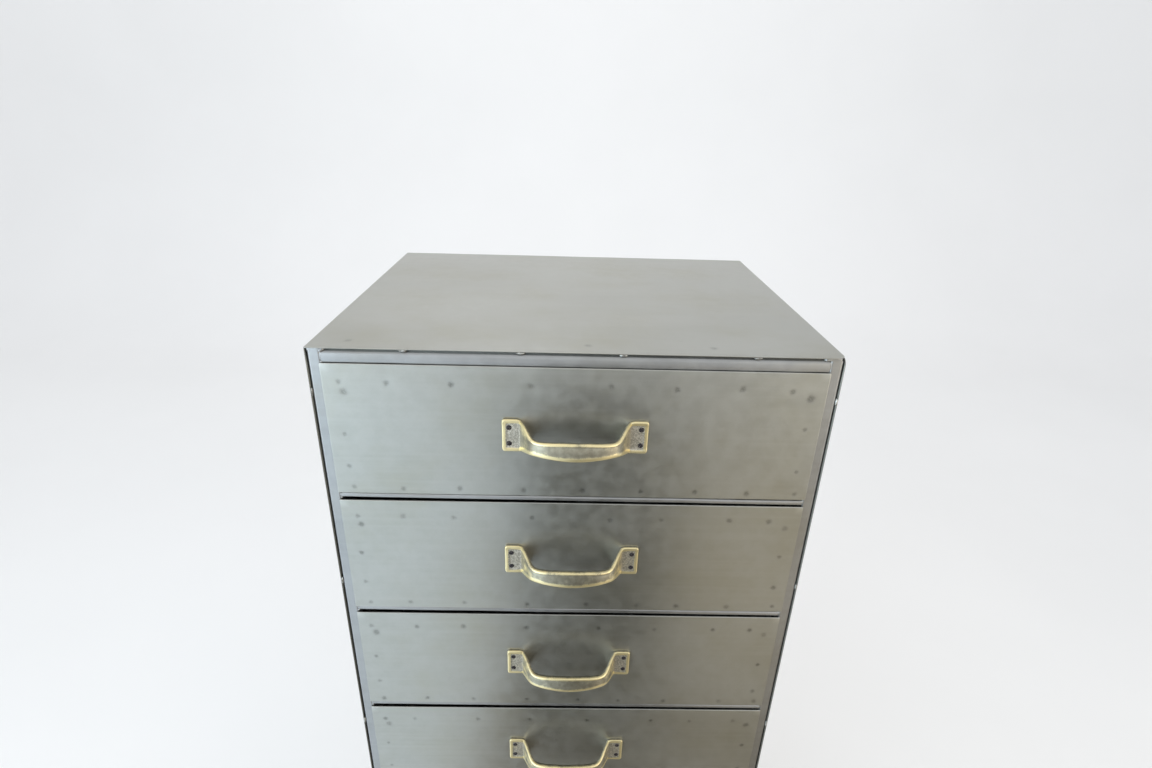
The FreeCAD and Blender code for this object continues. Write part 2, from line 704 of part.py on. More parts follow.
def main():
    pieces = build_frame() + build_skins()
    pieces += [runners("left_runners", "left"), runners("right_runners", "right")]
    pieces += [glides(), weld_beads()]
    pieces += build_drawers()
    doc.recompute()
    check(pieces)
    os.makedirs("parts", exist_ok=True)
    for piece in pieces:
        piece.Shape.exportStep(f"parts/{piece.Label}.step")
        box = piece.Shape.BoundBox
        print(f"{piece.Label}: {len(piece.Shape.Solids)} solids, {box}")


main()
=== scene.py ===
import json
import math
import random

import bmesh
import bpy
from mathutils import Euler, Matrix, Vector, geometry, noise


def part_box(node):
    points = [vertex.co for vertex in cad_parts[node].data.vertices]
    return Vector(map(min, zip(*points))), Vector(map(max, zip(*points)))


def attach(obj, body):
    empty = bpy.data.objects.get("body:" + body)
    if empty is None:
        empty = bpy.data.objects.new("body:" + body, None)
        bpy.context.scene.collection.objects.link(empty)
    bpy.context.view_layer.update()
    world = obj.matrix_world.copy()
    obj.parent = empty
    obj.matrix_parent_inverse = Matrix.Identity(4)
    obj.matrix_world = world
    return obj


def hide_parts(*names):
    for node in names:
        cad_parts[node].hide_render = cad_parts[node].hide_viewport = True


# Looks for the steel drawer cabinet. Metres, in the CAD frame: +Z up, drawers open towards -Y.

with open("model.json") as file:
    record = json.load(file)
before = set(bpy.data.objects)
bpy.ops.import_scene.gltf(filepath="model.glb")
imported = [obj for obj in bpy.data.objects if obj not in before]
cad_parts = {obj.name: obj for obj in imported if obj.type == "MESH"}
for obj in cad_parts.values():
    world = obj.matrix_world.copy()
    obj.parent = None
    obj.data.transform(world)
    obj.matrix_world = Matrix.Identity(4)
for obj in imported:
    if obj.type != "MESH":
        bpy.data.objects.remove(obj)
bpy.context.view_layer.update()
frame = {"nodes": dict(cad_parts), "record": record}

MM = 0.001
UP = Vector((0, 0, 1))
ACROSS = Vector((1, 0, 0))
FRONTWARD = Vector((0, -1, 0))
BACKWARD = Vector((0, 1, 0))
DRAWERS = range(1, 9)
TOP_LOW, TOP_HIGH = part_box("top_panel")
WIDTH = TOP_HIGH.x - TOP_LOW.x


# ---------------------------------------------------------------- node materials


class Shader:
    """A node material with short calls for the nodes that these metals use."""

    def __init__(self, name, metallic, roughness):
        self.material = bpy.data.materials.new(name)
        self.material.use_nodes = True
        self.tree = self.material.node_tree
        self.surface = self.tree.nodes["Principled BSDF"]
        self.surface.inputs["Metallic"].default_value = metallic
        self.surface.inputs["Roughness"].default_value = roughness
        self.place = self.tree.nodes.new("ShaderNodeTexCoord").outputs["Object"]

    def feed(self, socket, value):
        if isinstance(value, bpy.types.NodeSocket):
            self.tree.links.new(value, socket)
        else:
            socket.default_value = value

    def noise(self, scale, detail=3.0, roughness=0.55, stretch=(1, 1, 1)):
        mapping = self.tree.nodes.new("ShaderNodeMapping")
        mapping.inputs["Scale"].default_value = stretch
        self.feed(mapping.inputs["Vector"], self.place)
        made = self.tree.nodes.new("ShaderNodeTexNoise")
        self.feed(made.inputs["Vector"], mapping.outputs["Vector"])
        made.inputs["Scale"].default_value = scale
        made.inputs["Detail"].default_value = detail
        made.inputs["Roughness"].default_value = roughness
        return made.outputs["Fac"]

    def attribute(self, name):
        made = self.tree.nodes.new("ShaderNodeAttribute")
        made.attribute_name = name
        return made.outputs["Fac"]

    def spread(self, value, low, high, to_low=0.0, to_high=1.0):
        """Map low..high of value to to_low..to_high, smoothly and clamped."""
        made = self.tree.nodes.new("ShaderNodeMapRange")
        made.interpolation_type = "SMOOTHSTEP"
        self.feed(made.inputs["Value"], value)
        made.inputs["From Min"].default_value = low
        made.inputs["From Max"].default_value = high
        made.inputs["To Min"].default_value = to_low
        made.inputs["To Max"].default_value = to_high
        return made.outputs["Result"]

    def sum(self, first, second, kind="ADD"):
        made = self.tree.nodes.new("ShaderNodeMath")
        made.operation = kind
        self.feed(made.inputs[0], first)
        self.feed(made.inputs[1], second)
        return made.outputs["Value"]

    def blend(self, share, first, second):
        made = self.tree.nodes.new("ShaderNodeMix")
        made.data_type = "RGBA"
        self.feed(made.inputs["Factor"], share)
        colours = [s for s in made.inputs if s.type == "RGBA"]
        for socket, value in zip(colours, (first, second)):
            self.feed(socket, value if isinstance(value, bpy.types.NodeSocket) else (*value, 1.0))
        return [s for s in made.outputs if s.type == "RGBA"][0]

    def bump(self, height, distance, strength=1.0):
        made = self.tree.nodes.new("ShaderNodeBump")
        made.inputs["Strength"].default_value = strength
        made.inputs["Distance"].default_value = distance
        self.feed(made.inputs["Height"], height)
        self.feed(self.surface.inputs["Normal"], made.outputs["Normal"])

    def finish(self, colour, roughness):
        self.feed(self.surface.inputs["Base Color"], colour)
        self.feed(self.surface.inputs["Roughness"], roughness)
        return self.material


def zinc_steel(name, pale, dark, roughness, marked=False):
    """Dull zinc-grey steel: soft clouds, finer mottling, faint rolling lines and a fine grain."""
    shader = Shader(name, metallic=0.9, roughness=roughness[0])
    clouds = shader.noise(6.0, detail=3.0)
    mottle = shader.noise(75.0, detail=5.0, roughness=0.6)
    stains = shader.noise(11.0, detail=5.0, roughness=0.6)
    rolling = shader.noise(26.0, detail=3.0, stretch=(0.2, 1.0, 7.0))
    grain = shader.noise(1500.0, detail=2.0)
    share = shader.sum(shader.spread(clouds, 0.3, 0.7, 0.0, 0.6), shader.spread(mottle, 0.3, 0.7, 0.0, 0.4))
    colour = shader.blend(share, dark, pale)
    olive = tuple(c * f for c, f in zip(dark, (0.97, 0.935, 0.82)))
    colour = shader.blend(shader.spread(stains, 0.40, 0.80, 0.0, 0.6), colour, olive)
    colour = shader.blend(shader.spread(rolling, 0.4, 0.75, 0.0, 0.35), colour, pale)
    colour = shader.blend(shader.spread(grain, 0.35, 0.75, 0.0, 0.15), colour, dark)
    rough = shader.spread(shader.sum(clouds, mottle), 0.75, 1.25, roughness[0], roughness[1])
    if marked:
        burnt = tuple(c * 0.42 for c in dark)
        bright = tuple(min(1.0, c * 1.35) for c in pale)
        cut_edge_and_shade = tuple(c * 0.55 for c in dark)
        patchy = shader.spread(shader.noise(600.0, detail=2.0), 0.3, 0.6, 0.6, 1.0)
        colour = shader.blend(shader.sum(shader.attribute("spot"), patchy, "MULTIPLY"), colour, burnt)
        # Edges of the drawer fronts lightened: wear all round, and a painted highlight along each upper edge.
        colour = shader.blend(shader.sum(shader.attribute("worn"), 0.7, "MULTIPLY"), colour, bright)
        # Edges of the top, side and back sheets darkened: partly a raw sheared edge, partly painted shade in
        # the gaps beside them.
        colour = shader.blend(shader.attribute("cut_edge_and_shade"), colour, cut_edge_and_shade)
    height = shader.sum(shader.sum(grain, 0.25, "MULTIPLY"), shader.sum(mottle, 0.75, "MULTIPLY"))
    shader.bump(height, 0.03 * MM, 0.5)
    return shader.finish(colour, rough)


def weld_metal():
    """Weld beads: bright ground metal with sooty patches."""
    shader = Shader("weld_metal", metallic=0.9, roughness=0.4)
    soot = shader.noise(260.0, detail=4.0)
    fine = shader.noise(1800.0, detail=2.0)
    colour = shader.blend(shader.spread(soot, 0.35, 0.65), (0.62, 0.63, 0.60), (0.24, 0.23, 0.21))
    shader.bump(fine, 0.08 * MM, 0.8)
    return shader.finish(colour, shader.spread(soot, 0.3, 0.7, 0.3, 0.6))


def antique_brass():
    """Grey-brown patina in the hollows and on the faces, worn to bright brass where hands rub."""
    shader = Shader("antique_brass", metallic=0.86, roughness=0.35)
    blotch = shader.noise(180.0, detail=4.0)
    specks = shader.noise(900.0, detail=3.0)
    worn = shader.sum(shader.attribute("worn"), shader.spread(blotch, 0.3, 0.7, -0.09, 0.09))
    worn = shader.sum(worn, shader.spread(specks, 0.3, 0.7, -0.08, 0.08))
    patina = shader.blend(shader.spread(blotch, 0.3, 0.7), (0.285, 0.265, 0.20), (0.385, 0.36, 0.28))
    cast = shader.blend(shader.spread(specks, 0.4, 0.62), (0.42, 0.39, 0.315), (0.72, 0.68, 0.585))
    patina = shader.blend(shader.attribute("bare"), patina, cast)
    colour = shader.blend(shader.spread(worn, 0.25, 0.75), patina, (0.88, 0.76, 0.435))
    rough = shader.spread(worn, 0.2, 0.85, 0.40, 0.33)
    shader.bump(shader.sum(specks, blotch), 0.04 * MM, 0.6)
    return shader.finish(colour, rough)


def blackened_steel():
    """Screws and nuts: almost black, rubbed paler in patches."""
    shader = Shader("blackened_steel", metallic=0.75, roughness=0.45)
    rub = shader.noise(500.0, detail=3.0)
    colour = shader.blend(shader.spread(rub, 0.45, 0.75, 0.0, 0.5), (0.035, 0.032, 0.038), (0.22, 0.19, 0.16))
    shader.bump(rub, 0.04 * MM, 0.6)
    return shader.finish(colour, shader.spread(rub, 0.3, 0.7, 0.38, 0.6))


def black_plastic():
    """Foot glides: dark grained plastic with pale scuffs."""
    shader = Shader("black_plastic", metallic=0.0, roughness=0.5)
    grain = shader.noise(900.0, detail=3.0)
    scuff = shader.noise(90.0, detail=4.0)
    colour = shader.blend(shader.spread(scuff, 0.45, 0.75), (0.018, 0.018, 0.019), (0.07, 0.068, 0.065))
    shader.bump(grain, 0.06 * MM, 0.7)
    return shader.finish(colour, shader.spread(scuff, 0.3, 0.7, 0.42, 0.62))


def pale_paper():
    """The studio's floor and wall: almost white, with faint clouds."""
    shader = Shader("pale_paper", metallic=0.0, roughness=0.8)
    cloud = shader.noise(0.8, detail=3.0)
    colour = shader.blend(shader.spread(cloud, 0.3, 0.7), (0.865, 0.86, 0.855), (0.885, 0.88, 0.875))
    return shader.finish(colour, 0.8)


def shade_cloth(name, colour):
    """Matt cloth for the shades, woven a little unevenly in tone."""
    shader = Shader(name, metallic=0.0, roughness=0.9)
    weave = shader.noise(40.0)
    return shader.finish(shader.blend(weave, colour, tuple(c * 1.3 for c in colour)), 0.9)


SKIN = zinc_steel("zinc_sheet", (0.455, 0.457, 0.425), (0.375, 0.374, 0.338), (0.29, 0.38), marked=True)
FRAME = zinc_steel("zinc_tube", (0.412, 0.415, 0.412), (0.323, 0.325, 0.322), (0.30, 0.40))
INNER = zinc_steel("folded_sheet", (0.42, 0.43, 0.42), (0.32, 0.325, 0.31), (0.38, 0.50))
WELD = weld_metal()
BRASS = antique_brass()
SCREW = blackened_steel()
PLASTIC = black_plastic()


# ---------------------------------------------------------------- mesh helpers


def smoothstep(low, high, value):
    """0 up to low, 1 from high on, and a smooth rise between them."""
    share = min(1.0, max(0.0, (value - low) / (high - low)))
    return share * share * (3 - 2 * share)


def new_piece(name, bm, material, body, replaced=()):
    """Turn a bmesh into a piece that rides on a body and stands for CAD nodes."""
    bmesh.ops.recalc_face_normals(bm, faces=bm.faces)
    mesh = bpy.data.meshes.new(name)
    bm.to_mesh(mesh)
    bm.free()
    mesh.polygons.foreach_set("use_smooth", [True] * len(mesh.polygons))
    mesh.materials.append(material)
    piece = bpy.data.objects.new(name, mesh)
    bpy.context.scene.collection.objects.link(piece)
    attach(piece, body)
    if replaced:
        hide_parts(*replaced)


def cover_tube(bm, rings):
    """Faces from each ring of vertices to the next, and a face that closes each end."""
    for ring, following in zip(rings, rings[1:]):
        for k in range(len(ring)):
            j = (k + 1) % len(ring)
            bm.faces.new((ring[k], following[k], following[j], ring[j]))
    bm.faces.new(rings[0])
    bm.faces.new(rings[-1])


def cover_rows(bm, rows, around):
    """Faces between the rows of a round solid; a row of one vertex is a pole."""
    for upper, lower in zip(rows, rows[1:]):
        for k in range(around):
            j = (k + 1) % around
            near = [upper[k % len(upper)], lower[k % len(lower)]]
            far = [lower[j % len(lower)], upper[j % len(upper)]]
            unique = list(dict.fromkeys(near + far))
            if len(unique) > 2:
                bm.faces.new(unique)


CORNER_TURNS = 5


def rounded_outline(width, height, radii, step):
    """Points and outward directions round a rectangle centred on the origin, anticlockwise.

    radii are those of the bottom left, bottom right, top right and top left corners.
    """
    found = []
    signs = ((-1, -1), (1, -1), (1, 1), (-1, 1))
    for index, (sx, sy) in enumerate(signs):
        radius = radii[index]
        centre = Vector((sx * (width / 2 - radius), sy * (height / 2 - radius)))
        for turn in range(CORNER_TURNS + 1):
            angle = math.pi * (1 + index / 2 + turn / CORNER_TURNS / 2)
            way = Vector((math.cos(angle), math.sin(angle)))
            found.append((centre + way * radius, way))
        nx, ny = signs[(index + 1) % 4]
        next_radius = radii[(index + 1) % 4]
        side_end = Vector((nx * (width / 2 - next_radius), ny * (height / 2 - next_radius)))
        last, way = found[-1]
        target = side_end + way * next_radius
        count = max(1, round((target - last).length / step))
        for part in range(1, count):
            found.append((last.lerp(target, part / count), way))
    return found


class Mark:
    """A spot-weld mark: a shallow round dent with a darker middle that fades outwards."""

    AROUND = 14
    RINGS = (0.35, 0.65, 1.0, 1.4)

    def __init__(self, u, v, radius, depth, seed, tone=0.8):
        self.middle = Vector((u, v))
        self.radius = radius
        self.depth = depth
        self.seed = seed
        self.tone = tone

    def points(self):
        """Points of the mark, with their distance from its middle as a share of the radius."""
        yield self.middle, 0.0
        for share in self.RINGS:
            for k in range(self.AROUND):
                angle = 2 * math.pi * (k + share) / self.AROUND
                way = Vector((math.cos(angle), math.sin(angle)))
                uneven = 1 + 0.3 * noise.noise(Vector((way.x, way.y, self.seed)) * 1.3)
                yield self.middle + way * self.radius * share * uneven, share

    def dent(self, share):
        return -self.depth * (1 - smoothstep(0.1, 1.2, share))

    def burn(self, share):
        return self.tone * (1 - smoothstep(0.2, 1.25, share))


class Sheet:
    """A thin sheet: waves and spot-weld dents on its outer face, rounded edges and corners.

    axes are the directions of u, v and the outward side; centre is the middle of the outer face.
    edge_layer names the attribute that colours its edges: worn is bright, wear with a painted highlight on
    the upper edge; the dark one is a sheared edge with painted shade.
    """

    EDGE_TURNS = 4
    CLEAR_OF_MARK = 1.9
    CORNER_REACH = 11 * MM

    def __init__(self, size, axes, centre, thickness, wave, radii, edge, step, edge_layer):
        self.size = size
        self.axes = axes
        self.centre = centre
        self.thickness = thickness
        self.wave = wave
        self.edge = edge
        self.step = step
        self.rim = rounded_outline(*size, radii, step)
        self.marks = []
        self.corner_wear = 0.0
        self.bm = bmesh.new()
        self.spot = self.bm.verts.layers.float.new("spot")
        self.tone = self.bm.verts.layers.float.new(edge_layer)

    def vertex(self, point, rise, tone=0.0):
        u_axis, v_axis, out = self.axes
        rise += self.wave(point)
        vert = self.bm.verts.new(self.centre + u_axis * point.x + v_axis * point.y + out * rise)
        vert[self.tone] = tone
        return vert

    def face_points(self):
        """The outer face's points with their rise and burn; the rim comes first."""
        found = [(point - way * self.edge, 0.0, 0.0) for point, way in self.rim]
        found += [(point - way * self.edge * 2, 0.0, 0.0) for point, way in self.rim]
        for mark in self.marks:
            found += [(point, mark.dent(share), mark.burn(share)) for point, share in mark.points()]
        width, height = self.size
        columns, rows = (max(2, round(side / self.step)) for side in self.size)
        for i in range(1, columns):
            for j in range(1, rows):
                point = Vector(((i / columns - 0.5) * width, (j / rows - 0.5) * height))
                if all((point - m.middle).length > m.radius * self.CLEAR_OF_MARK for m in self.marks):
                    found.append((point, 0.0, 0.0))
        return found

    def build(self):
        count = len(self.rim)
        points = self.face_points()
        boundary = [(i, (i + 1) % count) for i in range(count)]
        flat = geometry.delaunay_2d_cdt([p for p, _, _ in points], boundary, [], 1, 1e-7)
        loop = [None] * count
        made = []
        for point, origin in zip(flat[0], flat[3]):
            _, rise, burn = points[origin[0]]
            vert = self.vertex(point, rise, self.face_tone(point))
            vert[self.spot] = burn
            made.append(vert)
            if origin[0] < count:
                loop[origin[0]] = vert
        for face in flat[2]:
            self.bm.faces.new([made[i] for i in face])
        for turn in range(1, self.EDGE_TURNS + 1):
            angle = math.pi / 2 * turn / self.EDGE_TURNS
            drop = -self.edge * (1 - math.cos(angle))
            inset = self.edge * (1 - math.sin(angle))
            ring = []
            for point, way in self.rim:
                tone = self.edge_tone(way) * math.sin(angle)
                ring.append(self.vertex(point - way * inset, drop, tone))
            loop = self.join(loop, ring)
        ring = [self.vertex(point, -self.thickness, 1.0) for point, _ in self.rim]
        self.bm.faces.new(self.join(loop, ring))
        return self.bm

    def face_tone(self, point):
        """Wear on the face round its two upper corners."""
        away = Vector((self.size[0] / 2 - abs(point.x), self.size[1] / 2 - point.y)).length
        return self.corner_wear * (1 - smoothstep(0.0, self.CORNER_REACH, away))

    def edge_tone(self, way):
        """The upper edge of a standing sheet gets the full edge colour and the others less: on the fronts,
        wear with a painted highlight along the upper edge; on the other sheets, a dark sheared edge that is
        partly painted shade.
        """
        return 1.0 if way.y > 0.5 else 0.4

    def join(self, loop, ring):
        count = len(loop)
        for i in range(count):
            j = (i + 1) % count
            self.bm.faces.new((loop[i], ring[i], ring[j], loop[j]))
        return ring


LUMP_RINGS = 8
LUMP_AROUND = 14


def lump(bm, centre, axes, sizes, seed):
    """A weld bead: a squashed ball with an uneven, rippled surface."""
    grid = []
    for i in range(LUMP_RINGS + 1):
        polar = math.pi * i / LUMP_RINGS
        row = []
        for k in range(LUMP_AROUND if 0 < i < LUMP_RINGS else 1):
            angle = 2 * math.pi * k / LUMP_AROUND
            flat = Vector((math.cos(angle), math.sin(angle), 0.0)) * math.sin(polar)
            way = flat + UP * math.cos(polar)
            uneven = 1 + 0.20 * noise.noise(way * 1.7 + Vector((seed, 2.3 * seed, 0)))
            ripple = 1 + 0.05 * math.sin(way.x * 11 + seed)
            at = [way[a] * sizes[a] / 2 * uneven * ripple for a in range(3)]
            row.append(bm.verts.new(centre + axes[0] * at[0] + axes[1] * at[1] + axes[2] * at[2]))
        grid.append(row)
    cover_rows(bm, grid, LUMP_AROUND)


# ---------------------------------------------------------------- sheets


def waviness(amplitude, scale, seed, outward=True):
    """Gentle hollows of a thin sheet. With outward False it only ever dips inwards."""

    def wave(point):
        value = noise.noise(Vector((point.x * scale, point.y * scale, seed)))
        value += 0.35 * noise.noise(Vector((point.x * scale * 3, point.y * scale * 3, seed + 5)))
        return amplitude * value if outward else -amplitude * (0.5 + 0.5 * max(-1, min(1, value)))

    return wave


# Places of the spot welds from a front's left edge, in its upper and lower rows.
UPPER_ROW = tuple(x * MM for x in (16, 60, 120, 195, 270, 332, 394, 441))
LOWER_ROW = tuple(x * MM for x in (17, 66, 123, 188, 246, 305, 360, 413, 462))
UPPER_ROW_DROP = 19 * MM
LOWER_ROW_RISE = 7 * MM
COLUMN_INSET = 15 * MM
ROW_SHIFT = 9 * MM
LEFT_DOUBLE_SHIFT = 3 * MM
LEFT_DOUBLE_DROP = 10.5 * MM
RIGHT_DOUBLE_DROP = 7 * MM
MARK_DEPTH = 0.1 * MM
FRONT_WAVE = 0.14 * MM
FRONT_CORNER = 1.2 * MM
FRONT_EDGE = 0.6 * MM
FRONT_STEP = 9 * MM
FRONT_CORNER_WEAR = 0.7


def front_marks(number, width, height):
    """Spot welds all round a drawer front, in uneven rows; no two fronts are alike."""
    chance = random.Random(40 + number)
    marks = []

    def add(u, v, size=1.0):
        radius = size * chance.uniform(2.9, 3.9) * MM
        tone = chance.uniform(0.45, 0.85)
        mark = Mark(u, v + chance.uniform(-1, 1) * MM, radius, MARK_DEPTH, chance.random() * 9, tone)
        if all((mark.middle - other.middle).length > 1.2 * (radius + other.radius) for other in marks):
            marks.append(mark)

    shift = 0 if number == 1 else ROW_SHIFT
    upper = height / 2 - UPPER_ROW_DROP
    for row, v in ((UPPER_ROW, upper), (LOWER_ROW, LOWER_ROW_RISE - height / 2)):
        for x in row:
            at_end = x in (row[0], row[-1])
            add(x - width / 2 + chance.uniform(-1, 1) * (0.2 if at_end else 1) * shift, v)
    add(UPPER_ROW[0] + LEFT_DOUBLE_SHIFT - width / 2, upper - LEFT_DOUBLE_DROP, 1.2)
    add(width / 2 - COLUMN_INSET, upper - RIGHT_DOUBLE_DROP, chance.choice((1.1, 1.3)))
    for side in (-1, 1):
        for rise in (0.02, -0.29):
            at = height * (rise + chance.uniform(-0.05, 0.05))
            add(side * (width / 2 - COLUMN_INSET), at, chance.choice((0.8, 0.95)))
    return marks


def drawer_front(number):
    """A drawer's front panel, with its spot welds and worn edges, and a painted highlight along its upper
    edge.
    """
    low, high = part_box(f"drawer_{number}_front")
    size = (high.x - low.x, high.z - low.z)
    centre = Vector(((low.x + high.x) / 2, low.y, (low.z + high.z) / 2))
    wave = waviness(FRONT_WAVE, 6.0, 3.1 * number)
    axes = (ACROSS, UP, FRONTWARD)
    radii = (FRONT_CORNER,) * 4
    # Its edge colour is wear, with a painted highlight along the upper edge.
    sheet = Sheet(size, axes, centre, high.y - low.y, wave, radii, FRONT_EDGE, FRONT_STEP, "worn")
    sheet.marks = front_marks(number, *size)
    sheet.corner_wear = FRONT_CORNER_WEAR
    replaced = [f"drawer_{number}_front"]
    new_piece(f"front_panel_{number}", sheet.build(), SKIN, f"drawer_{number}", replaced)


SKIN_EDGE = 0.3 * MM
TOP_WAVE = 0.4 * MM
TOP_RADII = (1.5 * MM, 9 * MM, 2.5 * MM, 2.5 * MM)
TOP_STEP = 10 * MM
TOP_MARKS = (0.07, 0.52, 0.76)
TOP_MARK_INSET = 20 * MM
TOP_MARK_RADIUS = 4.2 * MM
TOP_MARK_DEPTH = 0.05 * MM
WALL_WAVE = 0.55 * MM
WALL_CORNER = 1 * MM
WALL_STEP = 20 * MM


def top_sheet():
    """The top sheet: one front corner is worn round, and a few faint marks lie near its front."""
    size = (WIDTH, TOP_HIGH.y - TOP_LOW.y)
    centre = Vector(((TOP_LOW.x + TOP_HIGH.x) / 2, (TOP_LOW.y + TOP_HIGH.y) / 2, TOP_HIGH.z))
    row = TOP_MARK_INSET - size[1] / 2
    wave = waviness(TOP_WAVE, 5.0, 11.0, outward=False)
    thickness = TOP_HIGH.z - TOP_LOW.z
    axes = (ACROSS, BACKWARD, UP)
    # Its edges are painted dark: partly a sheared edge, partly painted shade in the gaps round it.
    sheet = Sheet(size, axes, centre, thickness, wave, TOP_RADII, SKIN_EDGE, TOP_STEP, "cut_edge_and_shade")
    for share in TOP_MARKS:
        across = (share - 0.5) * WIDTH
        sheet.marks.append(Mark(across, row, TOP_MARK_RADIUS, TOP_MARK_DEPTH, 7 * share, 0.5))
    new_piece("top_sheet", sheet.build(), SKIN, "cabinet", ["top_panel"])


def wall_sheet(name, node, out, seed, worn_corner=WALL_CORNER):
    """A side or back sheet, flat against its frame with slight hollows; its upper left corner may be worn."""
    low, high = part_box(node)
    u_axis = UP.cross(out)
    span = abs((high - low).dot(u_axis))
    size = (span, high.z - low.z)
    middle = (low + high) / 2
    depth = abs((high - low).dot(out))
    wave = waviness(WALL_WAVE, 3.5, seed, outward=False)
    centre = middle + out * depth / 2
    radii = (WALL_CORNER, WALL_CORNER, WALL_CORNER, worn_corner)
    # Its edges are painted dark: partly a sheared edge, partly painted shade in the gaps beside it.
    sheet = Sheet(size, (u_axis, UP, out), centre, depth, wave, radii, SKIN_EDGE, WALL_STEP, "cut_edge_and_shade")
    new_piece(name, sheet.build(), SKIN, "cabinet", [node])


# ---------------------------------------------------------------- front rails

RAIL_STEPS = 60
RAIL_SWAY = 0.25 * MM
RAIL_REAR_RADIUS = 1.5 * MM
UPPER_RAIL_RADII = (0.8 * MM, 5.5 * MM)
UPPER_RAIL_RAISED = 0.6 * MM
DIVIDER_RADII = (1.4 * MM, 2.9 * MM)


def rounded_section(depth, height, front_radii, rear_radius):
    """A bar's outline as (back, up) from its middle; front_radii are its lower and upper front edges."""
    lower, upper = front_radii
    radii = (lower, rear_radius, rear_radius, upper)
    return [point for point, _ in rounded_outline(depth, height, radii, depth)]


def rail(name, node, front_radii, tilt=0.0, raised=0.0):
    """A front rail, hammered a little uneven; tilt is how much its left end is higher than its right."""
    low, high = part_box(node)
    high.z += raised
    section = rounded_section(high.y - low.y, high.z - low.z, front_radii, RAIL_REAR_RADIUS)
    middle = (low + high) / 2
    length = high.x - low.x
    bm = bmesh.new()
    rings = []
    for share in (0, 0.001, *(step / RAIL_STEPS for step in range(1, RAIL_STEPS)), 0.999, 1):
        x = low.x + length * share
        sway = RAIL_SWAY * noise.noise(Vector((x * 14, middle.z * 31, 4.0)))
        at = Vector((x, middle.y + abs(sway), middle.z + sway + tilt * (0.5 - share)))
        rings.append([bm.verts.new(at + BACKWARD * back + UP * up) for back, up in section])
    cover_tube(bm, rings)
    new_piece(name, bm, FRAME, "cabinet", [node])


def front_rails():
    """The rail under the top sheet and the thinner ones between the drawers, each tilted a little."""
    rail("upper_rail", "top_rail_front", UPPER_RAIL_RADII, raised=UPPER_RAIL_RAISED)
    chance = random.Random(11)
    for number in DRAWERS[:-1]:
        tilt = chance.uniform(1.0, 1.5) * MM
        rail(f"divider_{number}", f"divider_rail_{number}", DIVIDER_RADII, tilt)


# ---------------------------------------------------------------- bow handles

# Half of the handle, from the outer end of a plate to the middle of the grip, in millimetres:
# across, out from the drawer's face, breadth and thickness of the strap, swell of its face,
# rounding of its upper and lower edges, and how far it hangs below the plates' middle.
STRAP = (
    (70.75, 1.5, 35.0, 3.0, 0.0, 1.3, 1.3, 0.0),
    (60.0, 1.5, 35.0, 3.0, 0.0, 1.3, 1.3, 0.0),
    (56.0, 1.5, 34.8, 3.0, 0.0, 1.3, 1.3, 0.1),
    (53.3, 1.5, 33.8, 3.0, 0.0, 1.3, 1.3, 0.6),
    (52.5, 2.1, 33.0, 3.1, 0.0, 1.3, 1.3, 0.6),
    (51.4, 4.0, 31.5, 3.2, 0.1, 1.3, 1.3, 0.3),
    (49.4, 7.8, 29.2, 3.3, 0.3, 1.4, 1.4, 0.0),
    (46.9, 12.8, 25.3, 3.6, 0.6, 1.6, 1.7, 0.0),
    (44.0, 18.2, 20.4, 4.0, 0.8, 1.8, 2.0, 0.3),
    (40.6, 22.6, 16.7, 4.5, 1.0, 1.9, 2.3, 0.7),
    (35.6, 25.6, 15.2, 4.9, 1.1, 2.0, 2.5, 1.0),
    (26.5, 28.0, 16.2, 5.2, 1.3, 2.0, 2.7, 1.3),
    (13.0, 29.5, 18.2, 5.4, 1.4, 2.0, 2.8, 1.6),
    (0.0, 30.1, 18.8, 5.4, 1.5, 2.0, 2.8, 1.7),
)
# Widths of the raised rim, fades and roundings along the strap, in millimetres. The sink and wear
# fades are shares of the rim's width.
RIM = 3.9
GRIP_UPPER_RIM = 2.4
GRIP_LOWER_RIM = 5.4
PLATE_CORNER = 3.0
END_ROUNDING = 1.3
RECESS = 0.65
RECESS_FADES = (48.0, 56.0)
ARM_FADES = (34.0, 46.0)
GROOVE = 0.4
LEAN = 0.7
SINK_FADE = (0.7, 1.35)
WEAR_FADE = (0.8, 1.25)
END_WEAR_FADE = (0.7, 1.3)
PER_SPAN = 12
END_STEPS = (0.0, 0.15, 0.4, 0.8, 1.3, 2.0, 2.7, 3.2, 3.8, 4.6)


def spline_through(rows, per_span):
    """Catmull-Rom curve through rows of numbers."""
    padded = [rows[0]] + list(rows) + [rows[-1]]
    found = []
    for a, b, c, d in zip(padded, padded[1:], padded[2:], padded[3:]):
        for step in range(per_span):
            t = step / per_span
            row = []
            for p, q, r, s in zip(a, b, c, d):
                square = 2 * p - 5 * q + 4 * r - s
                cube = 3 * q - p - 3 * r + s
                row.append(0.5 * (2 * q + (r - p) * t + square * t**2 + cube * t**3))
            found.append(tuple(row))
    found.append(tuple(rows[-1]))
    return found


def strap_stations():
    """Stations along the whole strap, closer together at the plates' rounded ends."""
    past_middle = (-STRAP[-2][0], *STRAP[-2][1:])
    half = [row for row in spline_through(STRAP + (past_middle,), PER_SPAN) if row[0] >= 0]
    outer = STRAP[0]
    end = [(outer[0] - inward, *outer[1:]) for inward in END_STEPS]
    half = end + [row for row in half if row[0] < end[-1][0] - 0.3]
    return [(-x, *rest) for x, *rest in half] + half[-2::-1]


def rim_fade(fade, rim, from_edge):
    """0 on a rim and 1 inside it; fade gives where it starts and ends, as shares of the rim's width."""
    return smoothstep(fade[0] * rim, fade[1] * rim, from_edge)


